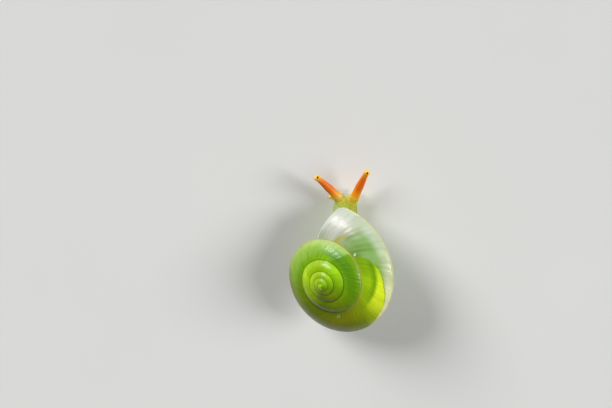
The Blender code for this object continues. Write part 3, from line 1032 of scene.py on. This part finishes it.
KEEL_COLOURS = (
    (0.0, (190, 196, 184)), (0.1, (178, 192, 164)), (0.17, (186, 197, 152)), (0.22, (242, 242, 192)),
    (0.28, (248, 248, 190)), (0.31, (188, 180, 80)), (0.36, (120, 122, 14)), (0.5, (102, 108, 8)),
    (0.6, (124, 112, 16)), (0.68, (160, 184, 90)), (0.8, (172, 196, 112)), (0.904, (150, 186, 94)),
    (0.91, (104, 152, 12)), (1.0, (104, 152, 10)),
)
# Where the animal's body starts to show through the last whorl: place across the whorl, age.
BORDER_AGES = (
    (0.0, 0.165), (0.2, 0.17), (0.4, 0.178), (0.5, 0.188), (0.6, 0.2), (0.65, 0.222), (0.7, 0.245),
    (0.77, 0.265), (0.85, 0.295), (0.9, 0.33), (1.0, 0.37),
)
# The body's colour by age, going olive towards 0.48 on the whorl's underside, partly as painted shade.
BODY_COLOURS = (
    (0.16, (132, 176, 8)), (0.22, (138, 182, 8)), (0.26, (160, 202, 12)), (0.32, (152, 190, 12)),
    (0.36, (142, 162, 12)), (0.4, (132, 146, 10)), (0.48, (124, 124, 6)),
)
# A dark arc in it: age, place across the whorl.
ARC_PLACES = ((0.16, 0.42), (0.24, 0.43), (0.28, 0.38), (0.32, 0.3), (0.4, 0.2))
# How strongly the bright patch beyond the arc shows at each age: the body's yellow, painted brighter as
# light shining through the shell.
GLOW_PATCH_STRENGTHS = ((0.16, 0.15), (0.21, 0.4), (0.27, 1.0), (0.31, 0.9), (0.345, 0.15), (0.38, 0.0))
# The spire, by the part of a turn: darker towards the bottom of each turn and lighter on its upper left,
# as painted shade and painted light.
SPIRE_SHADED_COLOURS = (
    (0.0, (150, 190, 10)), (0.12, (148, 202, 8)), (0.28, (116, 158, 5)), (0.42, (123, 141, 4)),
    (0.55, (93, 116, 4)), (0.68, (148, 182, 8)), (0.8, (172, 214, 8)), (0.9, (156, 196, 10)),
    (1.0, (150, 190, 10)),
)
# The base, from the keel to the columella.
BASE_COLOURS = (
    (0.0, (176, 188, 110)), (0.15, (150, 182, 84)), (0.5, (142, 180, 78)), (0.75, (168, 194, 118)),
    (1.0, (214, 220, 190)),
)
# The keel's thread: its colour by age over the turns named, and its width in shares of the whorl by age.
THREAD_TURNS = 3.0
THREAD_COLOURS = (
    (0.0, (200, 186, 140)), (0.1, (204, 188, 136)), (0.15, (170, 140, 70)), (0.33, (188, 150, 72)),
    (0.45, (168, 130, 44)), (0.52, (74, 82, 10)), (0.6, (76, 72, 14)), (0.68, (90, 64, 26)),
    (1.0, (66, 52, 14)),
)
THREAD_WIDTHS = ((0.0, 0.007), (0.85, 0.008), (1.1, 0.022), (1.7, 0.028), (2.4, 0.04), (4.5, 0.07))
SCRATCH_AGES = (0.484, 0.492)
LINE_SCALE = (150.0, 1.6, 0.0)
BAND_SCALE = (34.0, 0.7, 0.0)
# The flesh from left to right over the back, paler on the left partly as the flank's own colour and
# partly as painted light from the left, and a feeler from root to tip.
FLESH_COLOURS = (
    (0.0, (176, 192, 128)), (0.16, (176, 190, 100)), (0.3, (168, 176, 40)), (0.62, (164, 168, 36)),
    (0.85, (156, 158, 14)), (1.0, (160, 166, 30)),
)
FEELER_COLOURS = (
    (0.0, (214, 187, 30)), (0.1, (230, 176, 24)), (0.22, (234, 144, 14)), (0.4, (232, 117, 3)),
    (0.72, (234, 113, 3)), (0.86, (248, 154, 10)), (0.95, (254, 186, 20)), (1.0, (250, 200, 84)),
)
LOWER_FEELER_COLOURS = ((0.0, (200, 190, 40)), (0.6, (236, 196, 40)), (1.0, (248, 206, 70)))


def paint_whorl(tree, age, across):
    """White to mint behind the lip, then green with an olive band on the underside that is partly painted
    shade, and a tan wedge at the suture.
    """
    turn = tree.over(age, COLOURED_TURNS)
    by_suture = tree.ramp(turn, SUTURE_COLOURS)
    by_middle = tree.ramp(turn, MIDDLE_COLOURS)
    by_keel = tree.ramp(turn, KEEL_COLOURS)
    tree.colour = tree.mix(tree.span(across, 0.12, 0.34), by_suture, by_middle)
    tree.paint(tree.span(across, 0.6, 0.84), by_keel)
    from_wedge = tree.math("ABSOLUTE", tree.minus(age, 0.079))
    wedge = tree.over(from_wedge, tree.span(across, 0.0, 0.45, 0.02, 0.008))
    wedge = tree.times(tree.span(wedge, 0.0, 1.0, 0.7, 0.0), tree.span(across, 0.2, 0.48, 1.0, 0.0))
    tree.paint(wedge, (200, 176, 56))


def paint_body_within(tree, age, wobbled, across, wobble):
    """The animal inside shows behind a slanting border, with a dark arc and a bright patch, the patch
    painted brighter as light shining through the shell.
    """
    past = tree.minus(wobbled, tree.curve(across, BORDER_AGES))
    inside = tree.times(tree.span(past, -0.003, 0.005), tree.span(age, 0.4, 0.5, 1.0, 0.0))
    tree.paint(inside, tree.ramp(age, BODY_COLOURS))
    from_arc = tree.minus(tree.plus(across, tree.times(wobble, 0.12)), tree.curve(age, ARC_PLACES))
    # The bright patch: the body's yellow with a painted glow of light shining through the shell.
    patch = tree.times(tree.curve(wobbled, GLOW_PATCH_STRENGTHS), tree.span(from_arc, 0.02, 0.13), inside)
    tree.paint(patch, (236, 255, 44))
    arc = tree.times(tree.span(from_arc, -0.17, -0.01), tree.span(from_arc, -0.01, 0.08, 0.8, 0.0))
    tree.paint(tree.times(arc, tree.span(age, 0.25, 0.34, 0.8, 0.0), inside), (96, 140, 4))
    edge = tree.times(tree.peak(past, 0.001, 0.008), tree.span(across, 0.45, 0.6))
    tree.paint(tree.times(edge, tree.span(across, 0.84, 0.92, 0.8, 0.0)), (98, 142, 6))


def paint_spire(tree, age, wobbled, across):
    """Bright lime green on the spire, with painted light and shade around each turn, and painted shade
    along the suture where a whorl turns down into it.
    """
    # Painted light and shade: lighter on each turn's upper left, darker towards its bottom.
    lime = tree.ramp(tree.math("FRACT", wobbled), SPIRE_SHADED_COLOURS)
    tree.paint(tree.span(wobbled, 1.15, 1.5), lime)
    # Painted shade along the suture, at the last whorl's bottom and by the keel of the whorl before.
    painted_shade = tree.times(tree.span(across, 0.0, 0.12, 0.45, 0.0), tree.peak(age, 0.58, 0.28))
    tree.paint(painted_shade, (66, 84, 4))
    painted_shade = tree.times(tree.span(across, 0.7, 1.0, 0.0, 0.4), tree.peak(age, 1.56, 0.28))
    tree.paint(painted_shade, (66, 84, 4))
    tree.paint(tree.span(age, 2.8, 3.6, 0.0, 0.3), (112, 150, 20))


def paint_lines(tree, lines, bands):
    """Growth lines and bands over the whole shell."""
    tree.paint(tree.span(lines, 0.5, 0.75, 0.0, 0.3), (222, 230, 150), "SOFT_LIGHT")
    tree.paint(tree.span(lines, 0.25, 0.5, 0.3, 0.0), (60, 88, 8))
    tree.paint(tree.span(bands, 0.3, 0.7, 0.2, 0.0), (70, 104, 6))


def paint_marks(tree, age, across):
    """A white chip by the suture and two short scratches."""
    chip = tree.peak(tree.plus(age, tree.times(across, 0.09)), 0.167, 0.006)
    tree.paint(tree.times(chip, tree.peak(across, 0.1, 0.07)), (238, 242, 226))
    for at in SCRATCH_AGES:
        scratch = tree.times(tree.peak(age, at, 0.0022), tree.peak(across, 0.14, 0.11), 0.6)
        tree.paint(scratch, (226, 232, 180))


def paint_base(tree, age, wobbled, across, lines, bands):
    """Pale green on the base, and a white lip and aperture."""
    under = tree.ramp(tree.minus(across, 1.0), BASE_COLOURS)
    under = tree.mix(tree.span(wobbled, 0.03, 0.16, 0.75, 0.0), under, (206, 210, 190))
    under = tree.mix(tree.span(bands, 0.35, 0.7, 0.0, 0.5), under, (188, 204, 138))
    under = tree.mix(tree.span(lines, 0.3, 0.5, 0.45, 0.0), under, (104, 146, 40))
    tree.paint(tree.span(across, 0.999, 1.03), under)
    tree.paint(tree.span(age, -0.03, -0.005, 1.0, 0.0), (222, 224, 206))


def paint_thread(tree, age, across):
    """The keel's thread, tan on the last whorl and brown where it lies in the older sutures."""
    thread_age = tree.plus(age, tree.span(across, 0.4, 0.6, 1.0, 0.0))
    above = tree.over(tree.minus(1.0, across), tree.curve(age, THREAD_WIDTHS))
    below = tree.over(tree.minus(across, 1.0), 0.005)
    from_line = tree.math("MINIMUM", tree.over(across, 0.014), tree.math("MAXIMUM", above, below))
    margin = tree.times(tree.span(from_line, 1.0, 4.0, 0.35, 0.0), tree.span(across, 1.0, 1.01, 1.0, 0.0))
    tree.paint(tree.times(margin, tree.span(thread_age, 1.3, 1.6, 1.0, 0.0)), (190, 198, 110))
    worn = tree.span(tree.noise(700, 2.0), 0.3, 0.6, 0.5, 0.95)
    thread = tree.ramp(tree.over(thread_age, THREAD_TURNS), THREAD_COLOURS)
    tree.paint(tree.times(tree.span(from_line, 0.4, 1.1, 1.0, 0.0), worn), thread)


def shell_material():
    tree = Tree("green_shell")
    growth = tree.node("ShaderNodeUVMap", uv_map="growth").outputs[0]
    age, across, _ = tree.node("ShaderNodeSeparateXYZ", {0: growth}).outputs
    wobble = tree.minus(tree.noise(420, 3.0), 0.5)
    wobbled = tree.plus(age, tree.times(wobble, 0.02))
    # Fine growth lines and broader bands run across the whorl, parallel to the lip.
    lines = tree.noise(1.0, 4.0, 0.65, tree.stretched(growth, LINE_SCALE))
    bands = tree.noise(1.0, 3.0, 0.6, tree.stretched(growth, BAND_SCALE))

    paint_whorl(tree, wobbled, across)
    paint_body_within(tree, age, wobbled, across, wobble)
    paint_spire(tree, age, wobbled, across)
    paint_lines(tree, lines, bands)
    paint_marks(tree, age, across)
    paint_base(tree, age, wobbled, across, lines, bands)
    paint_thread(tree, age, across)

    normal = tree.bump(tree.plus(lines, tree.times(bands, 0.8)), 0.03 * MM, 0.3)
    rough = tree.span(lines, 0.2, 0.8, 0.38, 0.3)
    return tree.finish(
        Normal=normal, Roughness=rough, Specular_IOR_Level=0.28, Coat_Weight=0.17, Coat_Roughness=0.09,
        Subsurface_Weight=0.12, Subsurface_Radius=(1.0, 1.0, 0.3), Subsurface_Scale=0.6 * MM,
    )


def skin_material():
    tree = Tree("snail_skin")
    right, ahead, up = tree.node("ShaderNodeSeparateXYZ", {0: tree.place}).outputs
    mouth, relief, root, feeler, lower, mantle = (
        tree.node("ShaderNodeAttribute", attribute_name=name).outputs["Fac"]
        for name in ("mouth", "relief", "root", "feeler", "lower_feeler", "mantle")
    )
    blotches = tree.noise(900, 3.0)
    fine = tree.noise(5200, 3.0, 0.6)

    # Yellow-green on the back, paler on the left side (partly painted light from the left) and on the
    # head's front, whitish below.
    side = tree.plus(right, tree.times(tree.minus(blotches, 0.5), 0.8 * MM))
    tree.colour = tree.ramp(tree.span(side, -1.6 * MM, 3.2 * MM), FLESH_COLOURS)
    tree.paint(tree.span(blotches, 0.45, 0.7, 0.0, 0.45), (150, 172, 52))
    forward = tree.plus(ahead, tree.times(blotches, 0.5 * MM))
    tree.paint(tree.span(forward, 10.75 * MM, 11.35 * MM), (202, 212, 176))
    belly = tree.plus(up, tree.times(tree.minus(blotches, 0.5), 1.6 * MM))
    tree.colour = tree.mix(tree.span(belly, 0.9 * MM, 3.4 * MM), (202, 208, 164), tree.colour)
    tree.paint(tree.span(root, 0.6, 1.0, 0.0, 0.6), (220, 182, 36))
    tree.paint(tree.span(feeler, 0.02, 0.14), tree.ramp(feeler, FEELER_COLOURS))
    tree.paint(tree.span(lower, 0.15, 0.5), tree.ramp(lower, LOWER_FEELER_COLOURS))
    specks = tree.times(tree.span(fine, 0.5, 0.68, 0.0, 0.55), tree.span(feeler, 0.25, 0.4))
    tree.paint(tree.times(specks, tree.span(feeler, 0.84, 0.9, 1.0, 0.0)), (216, 72, 4))
    tree.paint(tree.span(mantle, 0.3, 0.9), (176, 206, 112))
    tree.paint(tree.span(mouth, 0.1, 0.9, 0.0, 0.7), (206, 180, 136))
    tree.paint(tree.span(mouth, 0.9, 1.0, 0.0, 0.35), (150, 104, 74))
    # Painted shade in the hollows between the grains.
    tree.paint(tree.span(relief, -0.6, 0.0, 0.3, 0.0), (140, 136, 48), "MULTIPLY")
    tree.paint(tree.span(fine, 0.3, 0.7, 0.16, 0.0), (110, 116, 20), "MULTIPLY")

    cells = tree.node("ShaderNodeTexVoronoi", {"Vector": tree.place, "Scale": 7000.0}, feature="F1")
    normal = tree.bump(cells.outputs["Distance"], 0.02 * MM, 0.35)
    normal = tree.bump(fine, 0.015 * MM, 0.4, normal)
    rough = tree.span(feeler, 0.1, 0.3, 0.38, 0.5)
    return tree.finish(
        Normal=normal, Roughness=rough, Specular_IOR_Level=0.3, Coat_Weight=0.08, Coat_Roughness=0.18,
        Subsurface_Weight=0.3, Subsurface_Radius=(1.0, 0.7, 0.25), Subsurface_Scale=0.5 * MM,
    )


def eye_material():
    tree = Tree("eye_black")
    tree.colour = tree.mix(tree.noise(9000, 2.0), (12, 11, 10), (34, 28, 22))
    return tree.finish(Roughness=0.12, Coat_Weight=0.6, Coat_Roughness=0.05)


def floor_material():
    tree = Tree("pale_floor")
    tree.colour = tree.mix(tree.noise(30, 3.0), (214, 214, 212), (219, 219, 217))
    return tree.finish(Roughness=0.9, Specular_IOR_Level=0.0)


# Studio


def make_camera():
    right = Vector((1, 0, 0))
    up = Vector((0, cos(CAMERA_TILT), -sin(CAMERA_TILT)))
    back = right.cross(up)
    near = CAMERA_DISTANCE - SCALE_DEPTH
    scale = PIXEL * near / CAMERA_DISTANCE
    from_apex = right * (IMAGE_SIZE[0] / 2 - APEX_PIXEL[0]) + up * (APEX_PIXEL[1] - IMAGE_SIZE[1] / 2)
    camera = bpy.data.cameras.new("camera")
    camera.lens = LENS
    camera.sensor_width = SENSOR
    camera.clip_start, camera.clip_end = CLIP
    obj = linked("camera", camera)
    place = APEX_PLACE + SHIFT + from_apex * scale + back * near
    obj.matrix_world = Matrix.Translation(place) @ Matrix((right, up, back)).transposed().to_4x4()
    bpy.context.scene.camera = obj


def soft_light(name, direction, strength, width):
    """A distant round light of the given width in degrees, shining from the given direction."""
    light = bpy.data.lights.new(name, "SUN")
    light.energy = strength
    light.angle = radians(width)
    obj = linked(name, light)
    obj.location = direction
    obj.rotation_mode = "QUATERNION"
    obj.rotation_quaternion = Vector(direction).to_track_quat("Z", "Y")


def make_studio():
    for name, (direction, strength, width) in LIGHTS.items():
        soft_light(name, direction, strength, width)
    world = bpy.data.worlds.new("studio")
    world.use_nodes = True
    background = world.node_tree.nodes["Background"].inputs
    background[0].default_value = (1.0, 1.0, 1.0, 1.0)
    background[1].default_value = SKY
    bpy.context.scene.world = world
    bpy.context.scene.view_settings.view_transform = "Standard"


def make_floor():
    mesh = bpy.data.meshes.new("floor")
    with edited(mesh) as bm:
        bmesh.ops.create_grid(bm, x_segments=FLOOR_SQUARES, y_segments=FLOOR_SQUARES, size=FLOOR_SIZE)
    floor = linked("floor", mesh)
    floor.data.materials.append(floor_material())


make_camera()
make_studio()
make_floor()

shell = make_shell()
shell.data.materials.append(shell_material())
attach(shell, "root")
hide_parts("shell")

skin = make_skin()
skin.data.materials.append(skin_material())
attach(skin, "root")
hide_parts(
    "mantle_collar", "head", "neck", "foot", "tail",
    "upper_tentacle_left", "upper_tentacle_right", "lower_tentacle_left", "lower_tentacle_right",
)

black = eye_material()
for side in ("left", "right"):
    low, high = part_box(f"eye_{side}")
    eye = ball(f"eye_ball_{side}", (high - low).x / 2, (low + high) / 2)
    eye.data.materials.append(black)
    eye.data.shade_smooth()
    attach(eye, "root")
    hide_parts(f"eye_{side}")
